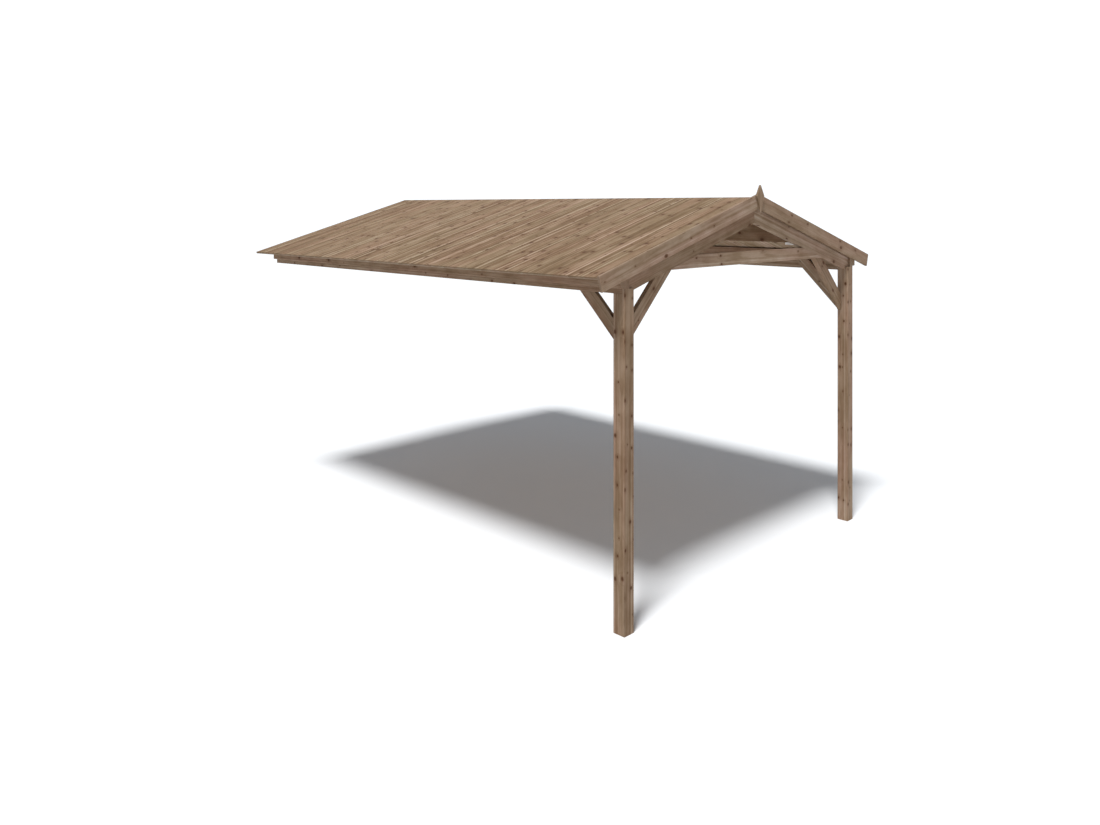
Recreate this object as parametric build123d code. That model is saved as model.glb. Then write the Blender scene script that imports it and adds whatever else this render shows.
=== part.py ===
from build123d import *
import os
from math import cos, radians, sin, tan

# A gabled timber patio cover that stands on two posts at its open front and is fixed to a house wall
# at its back. X runs across the gable, Y from the open gable towards the wall, and Z up. The wall
# plane is Y = 0, and the origin is the centre of the wall tie's back face.
# All sizes are in millimetres. Heights are measured from the ground, which lies below the origin.

# Overall layout
width_over_posts = 2905
depth_to_wall = 4255
roof_pitch = 16.25

# Posts
post_width = 90
post_height = 2090
post_edge_radius = 5

# Side beams, whose lower part is let into the post heads
beam_thickness = 45
beam_depth = 155
beam_let_in = 32

# Rafters and ties, the same at the open gable and at the wall
rafter_thickness = 35
rafter_depth = 163
rafter_setback = 20
tie_rise_over_posts = 89
tie_depth = 90

# Purlins under the roof boards
purlin_thickness = 45
purlin_depth = 155
purlin_to_beam = 823.5

# Knee braces at 45 degrees
brace_thickness = 35
brace_width = 90
brace_foot_drop = 357
gable_brace_top_drop = 29
eave_brace_top_drop = 23

# Roof boards, and the rail that closes the eave under them
deck_thickness = 15
eave_overhang = 207
rail_thickness = 34
rail_depth = 118

# Barge boards on the open gable
barge_thickness = 18
barge_width = 102
barge_rise_over_deck = 23.5
barge_overhang = 245

# Finial board in front of the barge boards' joint
finial_thickness = 16
finial_width = 93
finial_upper_length = 79
finial_lower_length = 125
finial_rise_over_barge = 63

# Galvanised angle brackets that hold the purlins' ends to the rafters
bracket_sheet = 2.5
bracket_bend_radius = 2
bracket_leg_on_purlin = 63
bracket_leg_on_rafter = 65
bracket_height = 90
purlin_bracket_drop = 20
ridge_bracket_rise = 10

# Places that follow from the sizes above
pitch_angle = radians(roof_pitch)
slope = tan(pitch_angle)
plumb_share = 1 / cos(pitch_angle)
half_width = width_over_posts / 2
post_inner = half_width - post_width
beam_inner = half_width - beam_thickness
post_front = -depth_to_wall
post_back = post_front + post_width
rafter_front = post_front + rafter_setback
rafter_back = rafter_front + rafter_thickness
wall_rafter_front = -rafter_thickness
barge_front = post_front - barge_thickness
beam_bottom_height = post_height - beam_let_in
beam_top_height = beam_bottom_height + beam_depth
tie_bottom_height = post_height + tie_rise_over_posts
tie_top_height = tie_bottom_height + tie_depth
purlin_outer_reach = beam_inner - purlin_to_beam
brace_foot_height = post_height - brace_foot_drop
brace_plumb_width = brace_width * 2**0.5
origin_height = tie_bottom_height + tie_depth / 2


def deck_underside(across):
    """Height of the roof boards' underside, which rests on the side beams' outer top edges."""
    return beam_top_height + slope * (half_width - across)


def deck_top(across):
    return deck_underside(across) + deck_thickness * plumb_share


def rafter_underside(across):
    return deck_underside(across) - rafter_depth * plumb_share


def reach_under_rafter(height):
    """Distance from the centre line at which the rafter's underside is at the given height."""
    return half_width - (height + rafter_depth * plumb_share - beam_top_height) / slope


def barge_top(across):
    return deck_top(across) + barge_rise_over_deck


def gable_board(points, y_from, y_to):
    """A timber whose outline lies in the gable plane, as distances across and heights."""
    outline = make_face(Plane.XZ * Polyline(*points, close=True))
    return Pos(0, y_from, 0) * extrude(outline, amount=y_to - y_from, dir=(0, 1, 0))


def eave_board(points, x_from, x_to):
    """A timber whose outline lies in a plane along the eave, as places on Y and heights."""
    outline = make_face(Plane.YZ * Polyline(*points, close=True))
    return Pos(x_from, 0, 0) * extrude(outline, amount=x_to - x_from, dir=(1, 0, 0))


def block(x_from, x_to, y_from, y_to, z_from, z_to):
    size = (x_to - x_from, y_to - y_from, z_to - z_from)
    return Pos(x_from, y_from, z_from) * Box(*size, align=(Align.MIN, Align.MIN, Align.MIN))


def post():
    """A square post. Its head is housed for the side beam's lower part behind a lip on the front."""
    shaft = block(post_inner, half_width, post_front, post_back, 0, post_height)
    shaft = fillet(shaft.edges().filter_by(Axis.Z), post_edge_radius)
    housing = block(beam_inner, half_width, rafter_front, post_back, beam_bottom_height, post_height)
    return shaft - housing


def side_beam():
    """A beam along the eave, its nose notched to pass over the lip of the post's head."""
    points = [
        (rafter_front, beam_bottom_height),
        (0, beam_bottom_height),
        (0, beam_top_height),
        (post_front, beam_top_height),
        (post_front, post_height),
        (rafter_front, post_height),
    ]
    return eave_board(points, beam_inner, half_width)


def eave_rail():
    """A rail on the beam's outer face, its top planed to the roof's slope."""
    outer = half_width + rail_thickness
    low = beam_top_height - rail_depth
    points = [
        (half_width, low),
        (outer, low),
        (outer, deck_underside(outer)),
        (half_width, deck_underside(half_width)),
    ]
    return gable_board(points, post_front, 0)


def front_rafter():
    """A rafter with a plumb joint at the ridge and a birdsmouth on the post's head, beside the beam."""
    points = [
        (0, rafter_underside(0)),
        (0, deck_underside(0)),
        (beam_inner, deck_underside(beam_inner)),
        (beam_inner, post_height),
        (post_inner, post_height),
        (post_inner, rafter_underside(post_inner)),
    ]
    return gable_board(points, rafter_front, rafter_back)


def wall_rafter():
    """A rafter against the wall, butted to the side beam's inner face."""
    points = [
        (0, rafter_underside(0)),
        (0, deck_underside(0)),
        (beam_inner, deck_underside(beam_inner)),
        (beam_inner, rafter_underside(beam_inner)),
    ]
    return gable_board(points, wall_rafter_front, 0)


def tie(y_from, y_to):
    """A level tie between a pair of rafters, its ends cut to their undersides."""
    low_reach = reach_under_rafter(tie_bottom_height)
    high_reach = reach_under_rafter(tie_top_height)
    points = [
        (-low_reach, tie_bottom_height),
        (low_reach, tie_bottom_height),
        (high_reach, tie_top_height),
        (-high_reach, tie_top_height),
    ]
    return gable_board(points, y_from, y_to)


def purlin(outer_reach, top):
    """A purlin from rafter to rafter. Its level top carries the roof boards at its outer edge."""
    inner_reach = outer_reach - purlin_thickness
    return block(inner_reach, outer_reach, rafter_back, wall_rafter_front, top - purlin_depth, top)


def distance_from_bend(edge):
    return abs(edge.center().X) + abs(edge.center().Y)


def bracket(purlin_face, low, y_rafter, facing):
    """A bent steel angle in the corner between a purlin's outer face and a rafter.

    Its lower end is at the height low, and facing is 1 where the purlin runs towards +Y.
    """
    leg_on_purlin = block(0, bracket_sheet, 0, bracket_leg_on_purlin, low, low + bracket_height)
    leg_on_rafter = block(0, bracket_leg_on_rafter, 0, bracket_sheet, low, low + bracket_height)
    angle = leg_on_purlin + leg_on_rafter
    inside_bend = angle.edges().filter_by(Axis.Z).sort_by(distance_from_bend)[1]
    angle = fillet(inside_bend, bracket_bend_radius)
    outside_bend = angle.edges().filter_by(Axis.Z).sort_by(distance_from_bend)[0]
    angle = fillet(outside_bend, bracket_bend_radius + bracket_sheet)
    if facing < 0:
        angle = mirror(angle, about=Plane.XZ)
    return Pos(purlin_face, y_rafter, 0) * angle


def brace_outline(face, foot, top, direction):
    """Outline of a 45 degree brace with a plumb foot at a post's face and a level top."""
    heel = foot + brace_plumb_width
    return [
        (face, foot),
        (face, heel),
        (face + direction * (top - heel), top),
        (face + direction * (top - foot), top),
    ]


def gable_brace():
    """A brace from the post's inner face, lapped on the backs of the front rafter and tie."""
    top = tie_top_height - gable_brace_top_drop
    points = brace_outline(post_inner, brace_foot_height, top, -1)
    return gable_board(points, rafter_back, rafter_back + brace_thickness)


def eave_brace():
    """A brace from the post's back face, lapped on the side beam's inner face."""
    top = beam_top_height - eave_brace_top_drop
    points = brace_outline(post_back, brace_foot_height, top, 1)
    return eave_board(points, beam_inner - brace_thickness, beam_inner)


def roof_boards():
    """One slope of roof boards, square-cut along the eave and mitred at the ridge."""
    eave = half_width + eave_overhang
    eave_low = eave - deck_thickness * sin(pitch_angle)
    points = [
        (0, deck_underside(0)),
        (0, deck_top(0)),
        (eave, deck_top(eave)),
        (eave_low, deck_underside(eave_low)),
    ]
    return gable_board(points, post_front, 0)


def barge_board():
    """A board along the verge, with a plumb joint at the ridge and a square-cut lower end."""
    end = half_width + barge_overhang
    end_low = end - barge_width * sin(pitch_angle)
    plumb_width = barge_width * plumb_share
    points = [
        (0, barge_top(0) - plumb_width),
        (0, barge_top(0)),
        (end, barge_top(end)),
        (end_low, barge_top(end_low) - plumb_width),
    ]
    return gable_board(points, barge_front, post_front)


def finial():
    """A flat kite-shaped board."""
    tip = barge_top(0) + finial_rise_over_barge
    shoulder = tip - finial_upper_length
    points = [
        (0, tip),
        (finial_width / 2, shoulder),
        (0, shoulder - finial_lower_length),
        (-finial_width / 2, shoulder),
    ]
    return gable_board(points, barge_front - finial_thickness, barge_front)


def save(name, solid):
    placed = Pos(0, 0, -origin_height) * solid
    export_step(placed, f"parts/{name}.step")


def save_pair(name, right_solid):
    save(f"{name}_right", right_solid)
    save(f"{name}_left", mirror(right_solid, about=Plane.YZ))


os.makedirs("parts", exist_ok=True)

save_pair("post", post())
save_pair("side_beam", side_beam())
save_pair("eave_rail", eave_rail())
save_pair("front_rafter", front_rafter())
save_pair("wall_rafter", wall_rafter())
save("front_tie", tie(rafter_front, rafter_back))
save("wall_tie", tie(wall_rafter_front, 0))
save_pair("gable_brace", gable_brace())
save_pair("eave_brace", eave_brace())
save_pair("roof_boards", roof_boards())
save_pair("barge_board", barge_board())
save("finial", finial())

purlin_top = deck_underside(purlin_outer_reach)
bracket_low = purlin_top - purlin_depth - purlin_bracket_drop
save_pair("purlin", purlin(purlin_outer_reach, purlin_top))
save_pair("front_bracket", bracket(purlin_outer_reach, bracket_low, rafter_back, 1))
save_pair("wall_bracket", bracket(purlin_outer_reach, bracket_low, wall_rafter_front, -1))

half_purlin = purlin_thickness / 2
ridge_purlin_top = deck_underside(half_purlin)
ridge_bracket_low = ridge_purlin_top - purlin_depth + ridge_bracket_rise
save("ridge_purlin", purlin(half_purlin, ridge_purlin_top))
save("front_ridge_bracket", bracket(half_purlin, ridge_bracket_low, rafter_back, 1))
save("wall_ridge_bracket", bracket(half_purlin, ridge_bracket_low, wall_rafter_front, -1))
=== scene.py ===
from math import cos, pi, radians, sin, tan
from random import Random

import bmesh
import bpy
from mathutils import Matrix, Vector


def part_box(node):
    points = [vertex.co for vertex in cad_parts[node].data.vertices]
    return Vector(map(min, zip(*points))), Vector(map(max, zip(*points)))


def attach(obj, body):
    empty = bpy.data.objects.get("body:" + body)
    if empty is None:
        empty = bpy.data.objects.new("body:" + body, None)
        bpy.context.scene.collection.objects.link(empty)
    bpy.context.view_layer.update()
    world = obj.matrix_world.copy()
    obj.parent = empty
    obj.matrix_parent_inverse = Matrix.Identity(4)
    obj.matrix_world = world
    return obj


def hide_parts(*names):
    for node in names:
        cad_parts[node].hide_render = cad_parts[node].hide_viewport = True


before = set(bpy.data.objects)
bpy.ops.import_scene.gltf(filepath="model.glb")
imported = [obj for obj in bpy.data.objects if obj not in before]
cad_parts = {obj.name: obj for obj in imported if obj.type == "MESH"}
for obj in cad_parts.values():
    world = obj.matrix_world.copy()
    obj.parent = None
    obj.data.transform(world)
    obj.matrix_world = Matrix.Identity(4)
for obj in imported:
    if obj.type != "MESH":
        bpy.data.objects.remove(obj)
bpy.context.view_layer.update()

# The looks of a gabled timber patio cover: eased timbers with the grain along each of them, tongued
# roof boards, nailed brackets, screwed braces, a pale floor, soft light and the camera.
# Sizes are in metres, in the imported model's frame: the wall plane is Y = 0, and the origin is the
# centre of the wall tie's back face.

SEED = 20
BODY = "root"

# Places read from the frame
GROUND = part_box("post_right")[0].z
BOARDS_LOW, BOARDS_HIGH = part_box("roof_boards_right")

# Roof boards, which run down the slope
PITCH = radians(16.25)
BOARD_THICKNESS = 0.015
BOARD_COVER = 0.135
BOARD_GAP = 0.0006
BOARD_TOP_EASE = 0.0012
BOARD_LOW_EASE = 0.0015
LEAST_BOARD = 1e-6
TONGUE_REACH = 0.006
TONGUE_HALF = 0.0022
GROOVE_DEPTH = 0.007
GROOVE_SLACK = 0.0004

# Welding and cleaning of the frame's meshes
WELD_DISTANCE = 1e-5
FLAT_ANGLE = radians(1)

# Eased edges, where two faces turn by more than EASED_ANGLE
TIMBER_EASE = 0.003
TRIM_EASE = 0.002
RAIL_EASE = 0.005
CUT_END_EASE = 0.0007
STEEL_EASE = 0.0004
EASE_SEGMENTS = 2
EASED_ANGLE = radians(25)
WITH_GRAIN = 0.99

# Nails in each leg of a bracket: how far up it they are, and how far from its bend
BRACKET_SHEET = 0.0025
BRACKET_NAILS = ((0.030, 0.048), (0.046, 0.022), (0.062, 0.048), (0.078, 0.022))
NAIL_RADIUS = 0.0035
NAIL_RISE = 0.0012

# Screws in the braces' tops: how far in from the end, and how far below the top
GABLE_BRACE_SCREWS = ((0.075, 0.045), (0.115, 0.085))
EAVE_BRACE_SCREWS = ((0.075, 0.040), (0.110, 0.075))
SCREW_RADIUS = 0.0055
SCREW_RISE = 0.0008

# A nail's or screw's head, from rim to crown, as shares of its radius and its rise
HEAD_PROFILE = ((1.0, 0.0), (1.0, 0.35), (0.82, 0.75), (0.45, 0.96))
HEAD_SEGMENTS = 16

# The camera, solved from the photograph's straight edges
PHOTO_WIDTH = 1100
PHOTO_HEIGHT = 825
FOCAL_PX = 897.06
HORIZON_PX = 206.34
CAMERA_PLACE = (-5.5609, -7.7531, 0.362)
CAMERA_YAW = radians(44.845)
SENSOR_MM = 36.0

# Light. The sky and the floor have one value for what the camera sees and one for the light they give.
SUN_TRAVEL = (0.447, 0.186, -1.0)
SUN_ANGLE = radians(11.6)
SUN_STRENGTH = 0.95 * pi
FILL_TRAVEL = (0.30, 0.95, -0.05)
FILL_ANGLE = radians(50)
FILL_STRENGTH = 0.14 * pi
SKY_COLOR = (0.96, 1.0, 1.06, 1.0)
SKY_STRENGTH = 0.25
SKY_SEEN = 1.1
FLOOR_SIZE = 80.0
FLOOR_BOUNCE = (0.97, 0.97, 0.97, 1.0)
FLOOR_SEEN = (0.95, 0.97, 0.99, 1.0)

# The mix node's sockets for colours, which share their names with its sockets for numbers
MIX_LOW = 6
MIX_HIGH = 7
MIX_RESULT = 2


def srgb(red, green, blue):
    """An 8-bit screen colour as the linear colour that a shader takes."""
    def linear(value):
        value = value / 255
        return value / 12.92 if value <= 0.04045 else ((value + 0.055) / 1.055) ** 2.4
    return (linear(red), linear(green), linear(blue), 1.0)


class Tree:
    """A short way to write a node tree: each call adds a node and links its inputs."""

    def __init__(self, tree):
        self.tree = tree
        tree.nodes.clear()

    def node(self, kind, inputs=None, **settings):
        made = self.tree.nodes.new(kind)
        for name, value in settings.items():
            setattr(made, name, value)
        for key, value in (inputs or {}).items():
            self.put(made.inputs[key], value)
        return made

    def put(self, socket, value):
        if isinstance(value, bpy.types.NodeSocket):
            self.tree.links.new(value, socket)
        else:
            socket.default_value = value

    def math(self, operation, *values):
        made = self.node("ShaderNodeMath", operation=operation)
        for socket, value in zip(made.inputs, values):
            self.put(socket, value)
        return made.outputs[0]

    def vector(self, operation, *values):
        made = self.node("ShaderNodeVectorMath", operation=operation)
        for socket, value in zip(made.inputs, values):
            self.put(socket, value)
        return made.outputs["Value" if operation == "LENGTH" else "Vector"]

    def attribute(self, name, output="Fac"):
        return self.node("ShaderNodeAttribute", attribute_name=name).outputs[output]

    def noise(self, place, waves, detail, roughness=0.5):
        """Noise from 0 to 1, with so many waves to the metre on each axis."""
        scaled = self.vector("MULTIPLY", place, waves)
        inputs = {"Vector": scaled, "Scale": 1.0, "Detail": detail, "Roughness": roughness}
        return self.node("ShaderNodeTexNoise", inputs).outputs["Fac"]

    def step(self, value, low, high, start=0.0, end=1.0):
        """Moves smoothly from start to end as value goes from low to high."""
        inputs = {"Value": value, "From Min": low, "From Max": high, "To Min": start, "To Max": end}
        made = self.node("ShaderNodeMapRange", inputs, interpolation_type="SMOOTHSTEP")
        return made.outputs["Result"]

    def color(self, red, green, blue):
        inputs = {"Red": red, "Green": green, "Blue": blue}
        return self.node("ShaderNodeCombineColor", inputs).outputs[0]

    def mix(self, factor, low, high, blend="MIX"):
        made = self.node("ShaderNodeMix", data_type="RGBA", blend_type=blend)
        self.put(made.inputs["Factor"], factor)
        self.put(made.inputs[MIX_LOW], low)
        self.put(made.inputs[MIX_HIGH], high)
        return made.outputs[MIX_RESULT]

    def tint(self, color, factor):
        return self.mix(1.0, color, factor, "MULTIPLY")

    def seen(self):
        """1 for what the camera sees, straight, in a gloss or through glass, and 0 for other light."""
        rays = self.node("ShaderNodeLightPath").outputs
        direct = self.math("MAXIMUM", rays["Is Camera Ray"], rays["Is Glossy Ray"])
        return self.math("MAXIMUM", direct, rays["Is Transmission Ray"])

    def surface(self, shader):
        self.node("ShaderNodeOutputMaterial", {"Surface": shader.outputs[0]})


def new_material(name):
    material = bpy.data.materials.new(name)
    material.use_nodes = True
    return material, Tree(material.node_tree)


# Wood

TIMBER_COLOR = srgb(138, 115, 95)
TRIM_COLOR = srgb(143, 121, 102)
BOARD_COLOR = srgb(138, 115, 91)
RED_TINT = (1.04, 0.98, 0.98, 1.0)
OLIVE_TINT = (0.985, 1.01, 0.97, 1.0)
KNOT_TINT = (0.42, 0.28, 0.18, 1.0)
HEART_TINT = (0.25, 0.15, 0.09, 1.0)

# Brighter wood is paler, because its green and blue rise faster than its red
GREEN_POWER = 1.25
BLUE_POWER = 1.65

# Noise in the wood: waves to the metre along, across and through the stick, detail and roughness
RAGGED_NOISE = ((110.0, 210.0, 210.0), 2.0, 0.5)
BEND_NOISE = ((1.1, 5.0, 5.0), 2.0, 0.5)
CLOUD_NOISE = ((5.0, 12.0, 12.0), 4.0, 0.6)
PATCH_NOISE = ((1.5, 8.0, 8.0), 2.0, 0.5)
FIBRE_NOISE = ((9.0, 420.0, 420.0), 2.0, 0.5)

# Steps: the pattern's values at both ends of the step, and then the tones there
CLOUD_TONES = (0.3, 0.7, 0.84, 1.16)
FIBRE_TONES = (0.2, 0.8, 0.93, 1.07)
LATE_WOOD_TONES = (0.0, 1.0, 1.0, 0.80)
PATCH_STEP = (0.35, 0.7)

# Knots. Their edges are distances from the centre, as shares of the knot's own radius, and
# KNOT_SHARE_EDGE is half the step that tells the rooms with a knot from those without.
KNOT_SCATTER = 0.8
KNOT_RAGGED = 0.35
KNOT_SMALLEST = 0.35
KNOT_LARGEST = 1.2
KNOT_SHARE_EDGE = 0.01
KNOT_EDGE = (1.15, 0.85)
HEART_EDGE = (0.75, 0.4)
HALO_EDGE = (3.4, 0.8)
KNOT_COVER = 0.85
HALO_COVER = 0.30

# Growth rings, which wander along the stick and bend round its knots
RING_WIDTH = 0.0062
RING_WANDER = 0.034
RING_BEND_AT_KNOT = 0.007
LATE_WOOD_POWER = 2.2
LATE_WOOD_END = (1.0, 0.86)

# Streaks along the grain, and shorter dark bands. Each light streak has a dark one beside it: partly
# the wood's own streaks and partly a painted highlight with painted shade beside it, as at a groove.
# A run is the waves to the metre along the stick, and STREAK_SHIFT sets the dark streaks beside the
# light ones.
STREAK_RUN = 0.15
STREAK_DETAIL = 0.0
STREAK_SHIFT = 0.4
STREAK_EDGE = (0.57, 0.67)
LIGHT_STREAK_AND_PAINTED_HIGHLIGHT = 0.38
DARK_STREAK_AND_PAINTED_SHADE = 0.20
BAND_RUN = 0.8
BAND_DETAIL = 3.0
BAND_ROUGHNESS = 0.55
BAND_EDGE = (0.50, 0.40)
DARK_BAND = 0.24

# The wood's surface
LATE_WOOD_RELIEF = 0.5
FIBRE_RELIEF = 0.8
KNOT_RELIEF = 0.5
RELIEF_DEPTH = 0.0006
RELIEF_STRENGTH = 0.35
LATE_WOOD_POLISH = 0.3
WOOD_ROUGHNESS = (0.1, 0.9, 0.66, 0.84)
WOOD_SPECULAR = 0.2

# What sets the woods apart. knot_room is the length and width that has room for one knot, and
# knot_share the share of such rooms with a knot. streaks is the number of them over a metre, figure
# how strongly they show, and end_shade how much darker end grain is.
WOODS = {
    "post_pine": {
        "color": TIMBER_COLOR,
        "knot_room": (0.15, 0.055),
        "knot_share": 0.62,
        "knot_radius": 0.0095,
        "knot_stretch": 1.3,
        "streaks": 42.0,
        "figure": 0.7,
        "end_shade": 0.12,
    },
    "planed_pine": {
        "color": TIMBER_COLOR,
        "knot_room": (0.25, 0.06),
        "knot_share": 0.42,
        "knot_radius": 0.0115,
        "knot_stretch": 1.4,
        "streaks": 42.0,
        "figure": 0.65,
        "end_shade": 0.12,
    },
    "trim_pine": {
        "color": TRIM_COLOR,
        "knot_room": (0.27, 0.06),
        "knot_share": 0.36,
        "knot_radius": 0.0115,
        "knot_stretch": 1.5,
        "streaks": 34.0,
        "figure": 0.45,
        "end_shade": 0.2,
    },
    "roof_pine": {
        "color": BOARD_COLOR,
        "knot_room": (0.17, 0.065),
        "knot_share": 0.5,
        "knot_radius": 0.0145,
        "knot_stretch": 1.15,
        "streaks": 29.0,
        "figure": 1.6,
        "end_shade": 0.3,
    },
}

# Brightness of single timbers, where it differs from their wood's. It is partly each stick's own tone
# and
# partly painted light and shade: the right post is painted lighter, standing in for floor light that it
# lacks beside the roof's shadow, and the finial is painted darker for the shade on its lower side.
STICK_TONES_AND_PAINTED_LIGHT = {
    "post_left": 0.98,
    "post_right": 1.15,
    "front_rafter_left": 0.89,
    "front_rafter_right": 1.12,
    "front_tie": 1.08,
    "gable_brace_left": 1.05,
    "gable_brace_right": 0.98,
    "eave_brace_right": 1.18,
    "side_beam_left": 0.98,
    "side_beam_right": 1.02,
    "purlin_right": 0.84,
    "barge_board_left": 1.06,
    "barge_board_right": 0.97,
    "finial": 0.95,
}

# The roof boards' underside, which is painted lighter, standing in for the light from the floor below,
# and has fainter streaks
UNDERSIDE_PAINTED_LIGHT = 1.55
UNDERSIDE_PLAIN = 0.5

# Chance: how far apart along the log sticks are taken, how far to either side of its heart and how
# far out from it they are sawn, and how much their tones differ
FAR = 40
TIMBER_ACROSS = 0.03
TIMBER_THROUGH = (0.05, 0.09)
TIMBER_TONES = (0.97, 1.03)
BOARD_ACROSS = 0.05
BOARD_THROUGH = (0.02, 0.08)
BOARD_TONE_SPREAD = 0.03

# A face is end grain where more than this share of its normal lies along the stick
END_GRAIN = 0.75

# A stick's long sides, each with knots of its own
LONG_SIDES = 4


def knot_masks(tree, place, end, look):
    """Three masks, each 1 where there is a knot, its dark heart or the wood that bends round it."""
    room = (look["knot_room"][0], look["knot_room"][1], 1.0)
    share = look["knot_share"]
    radius = look["knot_radius"]
    cells = tree.vector("DIVIDE", tree.attribute("knot_place", "Vector"), room)
    inputs = {"Vector": cells, "Scale": 1.0, "Randomness": KNOT_SCATTER}
    nearest = tree.node("ShaderNodeTexVoronoi", inputs, voronoi_dimensions="2D").outputs
    offset = tree.vector("MULTIPLY", tree.vector("SUBTRACT", cells, nearest["Position"]), room)
    offset = tree.vector("MULTIPLY", offset, (1.0 / look["knot_stretch"], 1.0, 0.0))
    ragged = tree.math("SUBTRACT", tree.noise(place, *RAGGED_NOISE), 0.5)
    ragged = tree.math("MULTIPLY", ragged, KNOT_RAGGED * radius)
    distance = tree.math("ADD", tree.vector("LENGTH", offset), ragged)

    lot = tree.node("ShaderNodeSeparateColor", {"Color": nearest["Color"]}).outputs
    present = tree.step(lot["Red"], 1.0 - share - KNOT_SHARE_EDGE, 1.0 - share + KNOT_SHARE_EDGE)
    present = tree.math("MULTIPLY", present, tree.math("SUBTRACT", 1.0, end))
    size = tree.step(lot["Green"], 0.0, 1.0, KNOT_SMALLEST * radius, KNOT_LARGEST * radius)
    ratio = tree.math("DIVIDE", distance, size)
    edges = (KNOT_EDGE, HEART_EDGE, HALO_EDGE)
    return [tree.math("MULTIPLY", tree.step(ratio, *edge), present) for edge in edges]


def late_wood(tree, place, halo):
    """The dark part of each growth ring, which comes slowly and ends sharply."""
    ring = tree.vector("LENGTH", tree.vector("MULTIPLY", place, (0.0, 1.0, 1.0)))
    ring = tree.math("ADD", ring, tree.math("MULTIPLY", tree.noise(place, *BEND_NOISE), RING_WANDER))
    ring = tree.math("ADD", ring, tree.math("MULTIPLY", halo, RING_BEND_AT_KNOT))
    saw = tree.math("FRACT", tree.math("DIVIDE", ring, RING_WIDTH))
    rise = tree.math("POWER", saw, LATE_WOOD_POWER)
    return tree.math("MULTIPLY", rise, tree.step(saw, *LATE_WOOD_END))


def streak_tone(tree, place, look):
    """The tone of long light and dark streaks, which are partly the wood's own streaks and partly a
    painted highlight with painted shade beside it, and 1 where the face is plain.
    """
    streaks = look["streaks"]
    figure = look["figure"]
    straight = (STREAK_RUN, streaks, streaks)
    beside = tree.vector("ADD", place, (0.0, STREAK_SHIFT / streaks, 0.0))
    light = tree.noise(place, straight, STREAK_DETAIL)
    dark = tree.noise(beside, straight, STREAK_DETAIL)
    bands = tree.noise(place, (BAND_RUN, streaks, streaks), BAND_DETAIL, BAND_ROUGHNESS)
    tone = tree.step(light, *STREAK_EDGE, 1.0, 1.0 + LIGHT_STREAK_AND_PAINTED_HIGHLIGHT * figure)
    tone = tree.math("MULTIPLY", tone, tree.step(dark, *STREAK_EDGE, 1.0, 1.0 - DARK_STREAK_AND_PAINTED_SHADE * figure))
    tone = tree.math("MULTIPLY", tone, tree.step(bands, *BAND_EDGE, 1.0, 1.0 - DARK_BAND * figure))
    plain = tree.attribute("wood_plain")
    return tree.math("ADD", plain, tree.math("MULTIPLY", tone, tree.math("SUBTRACT", 1.0, plain)))


def grain_tone(tree, place, late, fibres, look):
    """The wood's tone with its streaks, rings, clouds and fibres, on the stick's wood_tone, which holds
    painted light and shade.
    """
    tone = tree.math("MULTIPLY", tree.attribute("wood_tone"), streak_tone(tree, place, look))
    tone = tree.math("MULTIPLY", tone, tree.step(late, *LATE_WOOD_TONES))
    tone = tree.math("MULTIPLY", tone, tree.step(tree.noise(place, *CLOUD_NOISE), *CLOUD_TONES))
    return tree.math("MULTIPLY", tone, tree.step(fibres, *FIBRE_TONES))


def wood_color(tree, place, tone):
    """The wood's colour at a tone, a little redder in some patches and greener in others."""
    green = tree.math("POWER", tone, GREEN_POWER)
    blue = tree.math("POWER", tone, BLUE_POWER)
    patches = tree.step(tree.noise(place, *PATCH_NOISE), *PATCH_STEP)
    return tree.tint(tree.color(tone, green, blue), tree.mix(patches, OLIVE_TINT, RED_TINT))


def paint_knots(tree, paint, knot, heart, halo):
    paint = tree.mix(tree.math("MULTIPLY", halo, HALO_COVER), paint, tree.tint(paint, KNOT_TINT))
    paint = tree.mix(tree.math("MULTIPLY", knot, KNOT_COVER), paint, KNOT_TINT)
    return tree.mix(tree.math("MULTIPLY", heart, KNOT_COVER), paint, HEART_TINT)


def wood_bump(tree, late, fibres, knot):
    """Late wood and fibres stand a little proud, and knots lie a little deep."""
    relief = tree.math("MULTIPLY", late, LATE_WOOD_RELIEF)
    relief = tree.math("ADD", relief, tree.math("MULTIPLY", fibres, FIBRE_RELIEF))
    relief = tree.math("SUBTRACT", relief, tree.math("MULTIPLY", knot, KNOT_RELIEF))
    inputs = {"Height": relief, "Strength": RELIEF_STRENGTH, "Distance": RELIEF_DEPTH}
    return tree.node("ShaderNodeBump", inputs).outputs["Normal"]


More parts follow.
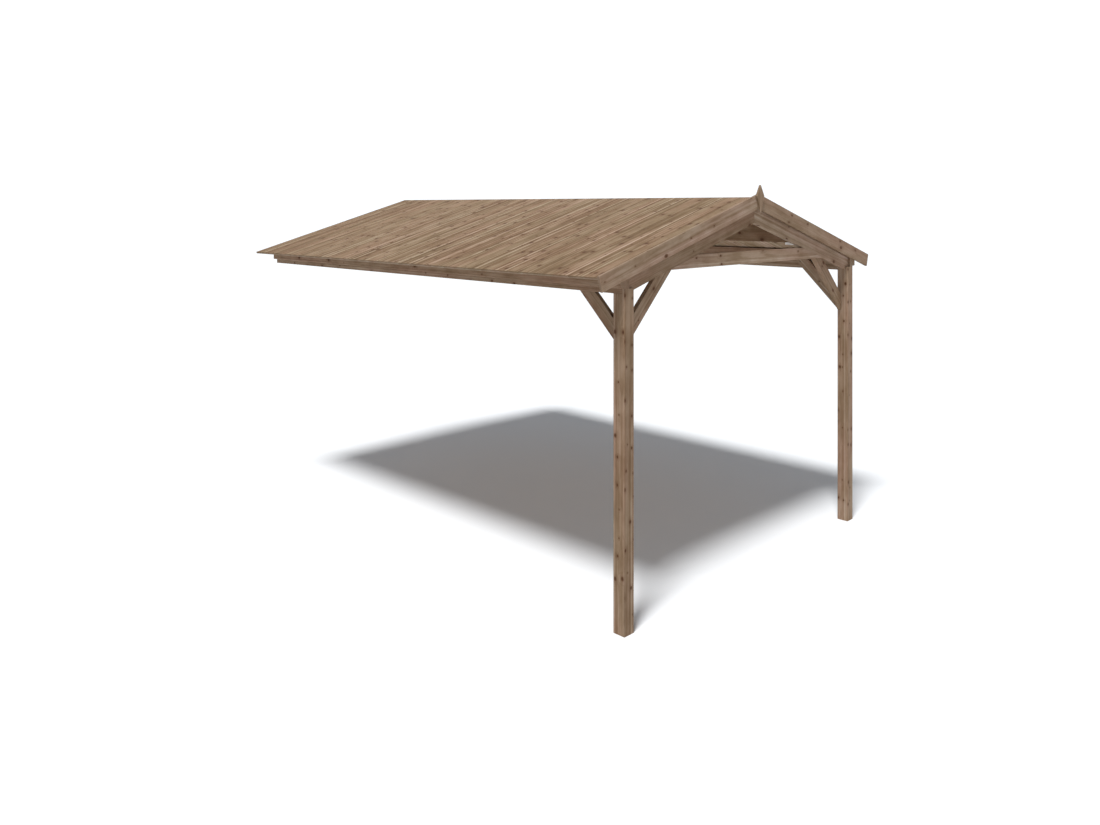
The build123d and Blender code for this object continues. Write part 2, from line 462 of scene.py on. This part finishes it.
def wood_material(name):
    """Planed pine, with the look that WOODS gives it. The mesh's attributes place it: wood_place is
    each point's place along, across and through its stick, knot_place its place on the face, and
    wood_tone the stick's tone, in which painted light and shade are held as well. wood_end is 1 on end
    grain. wood_plain is 1 on faces without streaks and 0 where they show in full."""
    look = WOODS[name]
    material, tree = new_material(name)
    place = tree.attribute("wood_place", "Vector")
    end = tree.attribute("wood_end")
    knot, heart, halo = knot_masks(tree, place, end, look)
    late = late_wood(tree, place, halo)
    fibres = tree.noise(place, *FIBRE_NOISE)

    tone = grain_tone(tree, place, late, fibres, look)
    paint = paint_knots(tree, wood_color(tree, place, tone), knot, heart, halo)
    shade = tree.math("SUBTRACT", 1.0, tree.math("MULTIPLY", end, look["end_shade"]))
    paint = tree.tint(tree.tint(look["color"], paint), tree.color(shade, shade, shade))
    polish = tree.math("SUBTRACT", fibres, tree.math("MULTIPLY", late, LATE_WOOD_POLISH))
    rough = tree.step(polish, *WOOD_ROUGHNESS)
    bump = wood_bump(tree, late, fibres, knot)

    inputs = {"Base Color": paint, "Roughness": rough, "Normal": bump}
    shader = tree.node("ShaderNodeBsdfPrincipled", inputs)
    shader.inputs["Specular IOR Level"].default_value = WOOD_SPECULAR
    tree.surface(shader)
    return material


# Steel and the floor

SHEET_BRIGHT = srgb(250, 247, 244)
SHEET_DULL = srgb(234, 231, 228)
SHEET_METALLIC = 0.25
SCREW_BRIGHT = srgb(112, 104, 92)
SCREW_DULL = srgb(84, 77, 67)
SCREW_METALLIC = 0.85

# The zinc's spangles to the metre, and its stains and roughness, given as the wood's are
SPANGLES = 160.0
STAIN_NOISE = ((30.0, 30.0, 30.0), 3.0, 0.5)
STAIN_STEP = (0.4, 0.8, 0.0, 0.6)
STEEL_ROUGHNESS = (0.0, 1.0, 0.34, 0.5)


def steel_material(name, bright, dull, metallic):
    """Steel with the spangle and the dull stains of its zinc."""
    material, tree = new_material(name)
    place = tree.node("ShaderNodeTexCoord").outputs["Object"]
    inputs = {"Vector": place, "Scale": SPANGLES, "Randomness": 1.0}
    spangle = tree.node("ShaderNodeTexVoronoi", inputs).outputs["Color"]
    grain = tree.node("ShaderNodeSeparateColor", {"Color": spangle}).outputs["Red"]
    stains = tree.step(tree.noise(place, *STAIN_NOISE), *STAIN_STEP)
    color = tree.mix(stains, tree.mix(grain, dull, bright), dull)
    rough = tree.step(grain, *STEEL_ROUGHNESS)
    shader = tree.node("ShaderNodeBsdfPrincipled", {"Base Color": color, "Roughness": rough})
    shader.inputs["Metallic"].default_value = metallic
    tree.surface(shader)
    return material


def floor_material():
    """White ground that keeps the shadow and shows as plain white where the light reaches it."""
    material, tree = new_material("white_floor")
    color = tree.mix(tree.seen(), FLOOR_BOUNCE, FLOOR_SEEN)
    tree.surface(tree.node("ShaderNodeBsdfDiffuse", {"Color": color}))
    return material


# Meshes and pieces

def random_for(name):
    return Random(f"{SEED} {name}")


def sawn_from(chance, across, through):
    """A chance place in a log, which a stick's own places are added to."""
    return Vector((chance.uniform(-FAR, FAR), chance.uniform(-across, across), chance.uniform(*through)))


def clean_copy(node):
    """The CAD node's solid as a welded mesh with whole faces."""
    solid = bmesh.new()
    solid.from_mesh(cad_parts[node].data)
    bmesh.ops.remove_doubles(solid, verts=solid.verts, dist=WELD_DISTANCE)
    bmesh.ops.dissolve_limit(solid, angle_limit=FLAT_ANGLE, verts=solid.verts, edges=solid.edges)
    return solid


def ease(solid, width, along=None):
    """Rounds the outward corners. Where along is given, only the edges that run with the grain get
    the full width, and the cut ends stay nearly sharp, so that joints close."""
    def outward(edge):
        return edge.is_convex and edge.calc_face_angle(0.0) > EASED_ANGLE

    def with_grain(edge):
        run = (edge.verts[1].co - edge.verts[0].co).normalized()
        return along is None or abs(run.dot(along)) > WITH_GRAIN

    def bevel(edges, offset, segments):
        bmesh.ops.bevel(solid, geom=edges, offset=offset, segments=segments, profile=0.5,
                        affect="EDGES", clamp_overlap=True)

    bevel([edge for edge in solid.edges if outward(edge) and with_grain(edge)], width, EASE_SEGMENTS)
    if along is not None:
        cut_ends = [edge for edge in solid.edges if outward(edge) and not with_grain(edge)]
        bevel(cut_ends, CUT_END_EASE, 1)


def new_object(name, solid, material):
    mesh = bpy.data.meshes.new(name)
    solid.to_mesh(mesh)
    solid.free()
    made = bpy.data.objects.new(name, mesh)
    bpy.context.scene.collection.objects.link(made)
    mesh.materials.append(material)
    return made


def add_piece(name, solid, material, node=None):
    """A piece of the cover, which takes a CAD node's place where one is given."""
    piece = new_object(name, solid, material)
    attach(piece, BODY)
    if node:
        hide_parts(node)
    return piece


# Timbers from the frame's own solids

def grain_axes(along, facing):
    """Rows that turn a point into its place along, across and through a stick."""
    along = Vector(along).normalized()
    through = Vector(facing)
    through = (through - along * through.dot(along)).normalized()
    return Matrix((along, through.cross(along), through))


def write_attribute(mesh, name, kind, domain, values):
    attribute = mesh.attributes.new(name, kind, domain)
    field = "vector" if kind == "FLOAT_VECTOR" else "value"
    for item, value in zip(attribute.data, values):
        setattr(item, field, value)


def mark_wood(mesh, axes, chance, centre, tone):
    """Writes the attributes that the wood material reads. Each long side has knots of its own, and
    end grain has no streaks."""
    log_place = sawn_from(chance, TIMBER_ACROSS, TIMBER_THROUGH)
    # Painted light: the tone passed in holds painted light and shade for some timbers, and the spread on
    # it is random.
    tone = tone * chance.uniform(*TIMBER_TONES)
    shifts = []
    for _ in range(LONG_SIDES):
        shifts.append(Vector((chance.uniform(-FAR, FAR), chance.uniform(-FAR, FAR), 0)))
    places = [axes @ (vertex.co - centre) for vertex in mesh.vertices]
    on_face = []
    ends = []
    for face in mesh.polygons:
        turned = axes @ face.normal
        ends.append(1.0 if abs(turned.x) > END_GRAIN else 0.0)
        broad = abs(turned.z) > abs(turned.y)
        outward = turned.z if broad else turned.y
        shift = shifts[(2 if broad else 0) + (1 if outward > 0 else 0)]
        for corner in face.loop_indices:
            point = places[mesh.loops[corner].vertex_index]
            on_face.append(Vector((point.x, point.y if broad else point.z, 0)) + shift)
    write_attribute(mesh, "wood_place", "FLOAT_VECTOR", "POINT", [place + log_place for place in places])
    write_attribute(mesh, "wood_tone", "FLOAT", "POINT", [tone] * len(places))
    write_attribute(mesh, "knot_place", "FLOAT_VECTOR", "CORNER", on_face)
    write_attribute(mesh, "wood_end", "FLOAT", "FACE", ends)
    write_attribute(mesh, "wood_plain", "FLOAT", "FACE", ends)


def timber(node, along, facing, material, width):
    """A timber in a CAD node's place, with its grain running along and its broad side facing."""
    axes = grain_axes(along, facing)
    solid = clean_copy(node)
    ease(solid, width, axes[0])
    piece = add_piece(node + "_timber", solid, material, node)
    low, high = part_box(node)
    # Painted light: the table of single timbers' tones paints some of them lighter or darker.
    mark_wood(piece.data, axes, random_for(node), (low + high) / 2, STICK_TONES_AND_PAINTED_LIGHT.get(node, 1.0))


# Roof boards

def board_outline(start, end, tongue, groove):
    """A board's cross-section, as places on Y and heights over its underside, in order round it."""
    thick = BOARD_THICKNESS
    tongue_low = thick / 2 - TONGUE_HALF
    tongue_high = thick / 2 + TONGUE_HALF
    points = [
        (start, BOARD_LOW_EASE),
        (start + BOARD_LOW_EASE, 0.0),
        (end - BOARD_LOW_EASE, 0.0),
        (end, BOARD_LOW_EASE),
    ]
    if tongue:
        points += [
            (end, tongue_low),
            (end + TONGUE_REACH, tongue_low),
            (end + TONGUE_REACH, tongue_high),
            (end, tongue_high),
        ]
    points += [
        (end, thick - BOARD_TOP_EASE),
        (end - BOARD_TOP_EASE, thick),
        (start + BOARD_TOP_EASE, thick),
        (start, thick - BOARD_TOP_EASE),
    ]
    if groove:
        points += [
            (start, tongue_high + GROOVE_SLACK),
            (start + GROOVE_DEPTH, tongue_high + GROOVE_SLACK),
            (start + GROOVE_DEPTH, tongue_low - GROOVE_SLACK),
            (start, tongue_low - GROOVE_SLACK),
        ]
    return points


class Slope:
    """The mesh of one slope's boards, with the attributes that the wood material reads.
    side is 1 for the right slope and -1 for the left."""

    def __init__(self, side):
        self.solid = bmesh.new()
        self.place = self.solid.verts.layers.float_vector.new("wood_place")
        self.tone = self.solid.verts.layers.float.new("wood_tone")
        self.on_face = self.solid.loops.layers.float_vector.new("knot_place")
        self.end = self.solid.faces.layers.float.new("wood_end")
        self.plain = self.solid.faces.layers.float.new("wood_plain")
        self.down = Vector((side * cos(PITCH), 0, -sin(PITCH)))
        self.up = Vector((side * sin(PITCH), 0, cos(PITCH)))
        self.ridge_top = Vector((0, 0, BOARDS_HIGH.z))
        self.length = (BOARDS_HIGH.x - BOARDS_LOW.x) / cos(PITCH)

    def add_board(self, outline, middle, log_place, tone):
        """Draws a board from its mitre at the ridge, where lower points start later, to the eave."""
        rails = []
        for y, height in outline:
            depth = BOARD_THICKNESS - height
            rail = []
            for run in (depth * tan(PITCH), self.length):
                point = self.ridge_top + self.down * run - self.up * depth
                vertex = self.solid.verts.new((point.x, y, point.z))
                vertex[self.place] = log_place + Vector((run, y - middle, height))
                # Painted light: points on the underside are painted lighter.
                vertex[self.tone] = tone if height > BOARD_THICKNESS / 2 else tone * UNDERSIDE_PAINTED_LIGHT
                rail.append(vertex)
            rails.append(rail)
        for index, (top, low) in enumerate(rails):
            after = (index + 1) % len(rails)
            next_top, next_low = rails[after]
            side_face = self.solid.faces.new((top, next_top, next_low, low))
            if outline[index][1] == outline[after][1] == 0.0:
                side_face[self.plain] = UNDERSIDE_PLAIN
        for end, order in ((0, 1), (1, -1)):
            cap = self.solid.faces.new([rail[end] for rail in rails][::order])
            cap[self.end] = 1.0
            cap[self.plain] = 1.0

    def finish(self):
        bmesh.ops.recalc_face_normals(self.solid, faces=self.solid.faces)
        for face in self.solid.faces:
            for corner in face.loops:
                place = corner.vert[self.place]
                corner[self.on_face] = Vector((place.x, place.y, 0))
        return self.solid


def roof_slope(side, material):
    """All the boards of one slope in one piece, from the verge to the wall, which cuts the last one."""
    chance = random_for(f"slope {side}")
    slope = Slope(side)
    front, back = BOARDS_LOW.y, BOARDS_HIGH.y
    start = front
    while start < back - LEAST_BOARD:
        end = min(start + BOARD_COVER, back)
        outline = board_outline(start + BOARD_GAP / 2, end - BOARD_GAP / 2, end < back, start > front)
        log_place = sawn_from(chance, BOARD_ACROSS, BOARD_THROUGH)
        slope.add_board(outline, (start + end) / 2, log_place, chance.gauss(1.0, BOARD_TONE_SPREAD))
        start = end
    node = "roof_boards_right" if side > 0 else "roof_boards_left"
    add_piece(node + "_planks", slope.finish(), material, node)


# Brackets, nails and screws

def heads(name, places, facing, radius, rise, material):
    """Low domed heads of nails or screws, on a face that looks along facing."""
    facing = Vector(facing)
    side = facing.orthogonal().normalized()
    other = facing.cross(side)
    turns = [2 * pi * index / HEAD_SEGMENTS for index in range(HEAD_SEGMENTS)]
    spokes = [side * cos(turn) + other * sin(turn) for turn in turns]
    neighbours = [(index, (index + 1) % HEAD_SEGMENTS) for index in range(HEAD_SEGMENTS)]
    solid = bmesh.new()
    for place in places:
        rings = []
        for out, up in HEAD_PROFILE:
            points = [place + spoke * radius * out + facing * rise * up for spoke in spokes]
            rings.append([solid.verts.new(point) for point in points])
        crown = solid.verts.new(place + facing * rise)
        for lower, upper in zip(rings, rings[1:]):
            for index, after in neighbours:
                solid.faces.new((lower[index], lower[after], upper[after], upper[index]))
        for index, after in neighbours:
            solid.faces.new((rings[-1][index], rings[-1][after], crown))
        solid.faces.new(rings[0][::-1])
    bmesh.ops.recalc_face_normals(solid, faces=solid.faces)
    add_piece(name, solid, material)


def bracket(node, material, out, back):
    """A bent bracket and its nails. out is the side of the purlin that it is on, and back points from
    the rafter along the purlin."""
    solid = clean_copy(node)
    ease(solid, STEEL_EASE)
    add_piece(node + "_steel", solid, material, node)
    low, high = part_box(node)
    inner_x = low.x + BRACKET_SHEET if out > 0 else high.x - BRACKET_SHEET
    inner_y = low.y + BRACKET_SHEET if back > 0 else high.y - BRACKET_SHEET
    on_purlin = []
    on_rafter = []
    for rise, reach in BRACKET_NAILS:
        on_purlin.append(Vector((inner_x, inner_y + back * reach, low.z + rise)))
        on_rafter.append(Vector((inner_x + out * reach, inner_y, low.z + rise)))
    heads(node + "_purlin_nails", on_purlin, (out, 0, 0), NAIL_RADIUS, NAIL_RISE, material)
    heads(node + "_rafter_nails", on_rafter, (0, back, 0), NAIL_RADIUS, NAIL_RISE, material)


def gable_brace_screws(side, sign, material):
    """Screws through a gable brace's lap on the rafter and tie, in its back face."""
    node = f"gable_brace_{side}"
    low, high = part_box(node)
    end_x = low.x if sign > 0 else high.x
    places = []
    for inward, drop in GABLE_BRACE_SCREWS:
        places.append(Vector((end_x + sign * inward, high.y, high.z - drop)))
    heads(node + "_screws", places, (0, 1, 0), SCREW_RADIUS, SCREW_RISE, material)


def eave_brace_screws(side, sign, material):
    """Screws through an eave brace's lap on the side beam, in its inner face."""
    node = f"eave_brace_{side}"
    low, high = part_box(node)
    inner_x = low.x if sign > 0 else high.x
    places = []
    for inward, drop in EAVE_BRACE_SCREWS:
        places.append(Vector((inner_x, high.y - inward, high.z - drop)))
    heads(node + "_screws", places, (-sign, 0, 0), SCREW_RADIUS, SCREW_RISE, material)


def build_object():
    posts = wood_material("post_pine")
    wood = wood_material("planed_pine")
    trim = wood_material("trim_pine")
    boards = wood_material("roof_pine")
    steel = steel_material("galvanised_sheet", SHEET_BRIGHT, SHEET_DULL, SHEET_METALLIC)
    screws = steel_material("dark_screws", SCREW_BRIGHT, SCREW_DULL, SCREW_METALLIC)
    front = (0, -1, 0)
    right = (1, 0, 0)
    upright = (0, 0, 1)
    to_wall = (0, 1, 0)
    for side, sign in (("right", 1), ("left", -1)):
        out = (sign, 0, 0)
        slope = (sign * cos(PITCH), 0, -sin(PITCH))
        timber(f"post_{side}", upright, out, posts, TIMBER_EASE)
        timber(f"side_beam_{side}", to_wall, out, wood, TIMBER_EASE)
        timber(f"eave_rail_{side}", to_wall, out, wood, RAIL_EASE)
        timber(f"front_rafter_{side}", slope, front, wood, TIMBER_EASE)
        timber(f"wall_rafter_{side}", slope, front, wood, TIMBER_EASE)
        timber(f"gable_brace_{side}", (-sign, 0, 1), front, wood, TIMBER_EASE)
        timber(f"eave_brace_{side}", (0, 1, 1), out, wood, TIMBER_EASE)
        timber(f"barge_board_{side}", slope, front, trim, TRIM_EASE)
        timber(f"purlin_{side}", to_wall, out, wood, TIMBER_EASE)
        roof_slope(sign, boards)
        gable_brace_screws(side, sign, screws)
        eave_brace_screws(side, sign, screws)
        bracket(f"front_bracket_{side}", steel, sign, 1)
        bracket(f"wall_bracket_{side}", steel, sign, -1)
    timber("front_tie", right, front, wood, TIMBER_EASE)
    timber("wall_tie", right, front, wood, TIMBER_EASE)
    timber("ridge_purlin", to_wall, right, wood, TIMBER_EASE)
    timber("finial", upright, front, trim, TRIM_EASE)
    bracket("front_ridge_bracket", steel, 1, 1)
    bracket("wall_ridge_bracket", steel, 1, -1)


# Surroundings

def build_floor():
    solid = bmesh.new()
    bmesh.ops.create_grid(solid, x_segments=1, y_segments=1, size=FLOOR_SIZE / 2)
    floor = new_object("floor", solid, floor_material())
    floor.location = (0, 0, GROUND)


def sun_lamp(name, travel, angle, strength):
    lamp = bpy.data.lights.new(name, "SUN")
    lamp.energy = strength
    lamp.angle = angle
    sun = bpy.data.objects.new(name, lamp)
    sun.rotation_euler = Vector(travel).to_track_quat("-Z", "Y").to_euler()
    bpy.context.scene.collection.objects.link(sun)


def build_light():
    sun_lamp("sun", SUN_TRAVEL, SUN_ANGLE, SUN_STRENGTH)
    sun_lamp("fill", FILL_TRAVEL, FILL_ANGLE, FILL_STRENGTH)
    world = bpy.data.worlds.new("sky")
    bpy.context.scene.world = world
    world.use_nodes = True
    tree = Tree(world.node_tree)
    strength = tree.step(tree.seen(), 0.0, 1.0, SKY_STRENGTH, SKY_SEEN)
    sky = tree.node("ShaderNodeBackground", {"Color": SKY_COLOR, "Strength": strength})
    tree.node("ShaderNodeOutputWorld", {"Surface": sky.outputs[0]})


def build_camera():
    lens = bpy.data.cameras.new("camera")
    lens.sensor_fit = "HORIZONTAL"
    lens.sensor_width = SENSOR_MM
    lens.lens = SENSOR_MM * FOCAL_PX / PHOTO_WIDTH
    lens.shift_y = (HORIZON_PX - PHOTO_HEIGHT / 2) / PHOTO_WIDTH
    camera = bpy.data.objects.new("camera", lens)
    camera.location = CAMERA_PLACE
    forward = Vector((sin(CAMERA_YAW), cos(CAMERA_YAW), 0))
    camera.rotation_euler = forward.to_track_quat("-Z", "Y").to_euler()
    bpy.context.scene.collection.objects.link(camera)
    bpy.context.scene.camera = camera


build_object()
build_floor()
build_light()
build_camera()
bpy.context.scene.view_settings.view_transform = "Standard"
